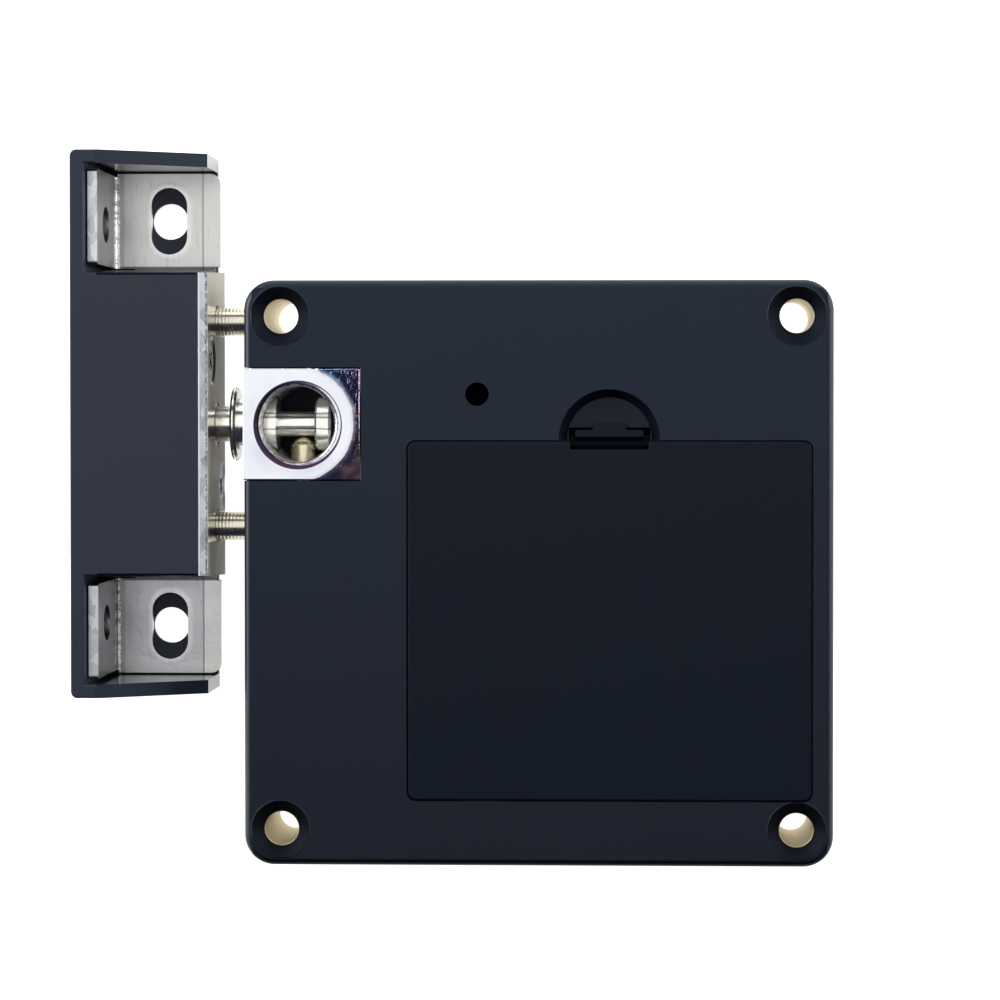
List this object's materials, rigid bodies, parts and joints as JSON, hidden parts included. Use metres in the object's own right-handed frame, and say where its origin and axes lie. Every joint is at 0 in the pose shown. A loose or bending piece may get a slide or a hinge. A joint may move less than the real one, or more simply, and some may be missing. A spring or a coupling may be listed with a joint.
{
  "type": "hidden cabinet lock",
  "caption": "Square battery-powered lock for the inside of a cabinet door, with a strike whose turned bolt stands in the lock's chromed block and is held there by a sprung locking pin.",
  "frame": {"origin": "centre of the four case screws, on the case's mounting face", "axes": "+Z from the mounting face towards the battery lid, +X from the strike towards the lock, +Y along the strike"},
  "size_m": [0.1176, 0.1097, 0.0215],
  "materials": {
    "case_plastic": "fine matt texture, dark blue-grey",
    "lid_plastic": "fine matt texture, near black",
    "strike_plastic": "fine matt texture, dark grey",
    "button_plastic": "matt",
    "block_chrome": "bright chrome plate",
    "nickel_sheet": "satin nickel plate",
    "turned_steel": "turned, nickel plated",
    "post_steel": "turned with fine rings, nickel plated",
    "pin_steel": "turned, yellowish plate",
    "screw_steel": "zinc plated",
    "yoke_steel": "zinc plated sheet",
    "spring_steel": "drawn wire",
    "contact_plate": "nickel plated sheet",
    "bobbin_plastic": "moulded",
    "copper_winding": "enamelled copper wire",
    "board_laminate": "green lacquer",
    "black_mould": "moulded",
    "plug_plastic": "moulded",
    "cell_jacket": "printed sleeve, left plain"
  },
  "bodies": {
    "lock": {"case_shell": "case_plastic", "back_cover": "case_plastic", "cover_screws": "screw_steel", "latch_block": "block_chrome", "block_screws": "screw_steel", "cell_1": "cell_jacket", "cell_2": "cell_jacket", "cell_3": "cell_jacket", "cell_4": "cell_jacket", "cell_spring_1": "spring_steel", "cell_spring_2": "spring_steel", "cell_spring_3": "spring_steel", "cell_spring_4": "spring_steel", "contact_plate_1": "contact_plate", "contact_plate_2": "contact_plate", "contact_plate_3": "contact_plate", "contact_plate_4": "contact_plate", "contact_plate_5": "contact_plate", "circuit_board": "board_laminate", "board_screws": "screw_steel", "controller_chip": "black_mould", "buzzer": "black_mould", "antenna_plug": "plug_plastic", "reset_switch": "black_mould", "antenna_board": "board_laminate", "antenna_winding": "copper_winding", "plunger_spring": "spring_steel", "solenoid_frame": "yoke_steel", "solenoid_bobbin": "bobbin_plastic", "solenoid_winding": "copper_winding", "pole_piece": "yoke_steel"},
    "plunger": {"locking_plunger": "pin_steel", "plunger_clip": "spring_steel"},
    "strike": {"strike_cover": "strike_plastic", "strike_bracket": "nickel_sheet", "latch_bolt": "turned_steel", "bolt_nut": "screw_steel", "guide_post_upper": "post_steel", "guide_post_lower": "post_steel", "plate_screws": "screw_steel"},
    "lid": {"battery_lid": "lid_plastic"},
    "button": {"reset_button": "button_plastic"}
  },
  "joints": [
    {"name": "plunger_slide", "type": "slide", "parent": "lock", "child": "plunger", "axis": [0, -1, 0], "range_m": [0, 0.003], "stiffness_N_per_m": 100, "springref_m": -0.004, "deforming": ["plunger_spring"]},
    {"name": "strike_play", "type": "slide", "parent": "lock", "child": "strike", "axis": [1, 0, 0], "range_m": [-0.00005, 0.0016]},
    {"name": "lid_hinge", "type": "hinge", "parent": "lock", "child": "lid", "pos_m": [0.0109, -0.03445, 0.0208], "axis": [1, 0, 0], "range_deg": [0, 75]},
    {"name": "button_press", "type": "slide", "parent": "lock", "child": "button", "axis": [0, 0, -1], "range_m": [0, 0.0004], "stiffness_N_per_m": 300, "springref_m": -0.0005}
  ]
}
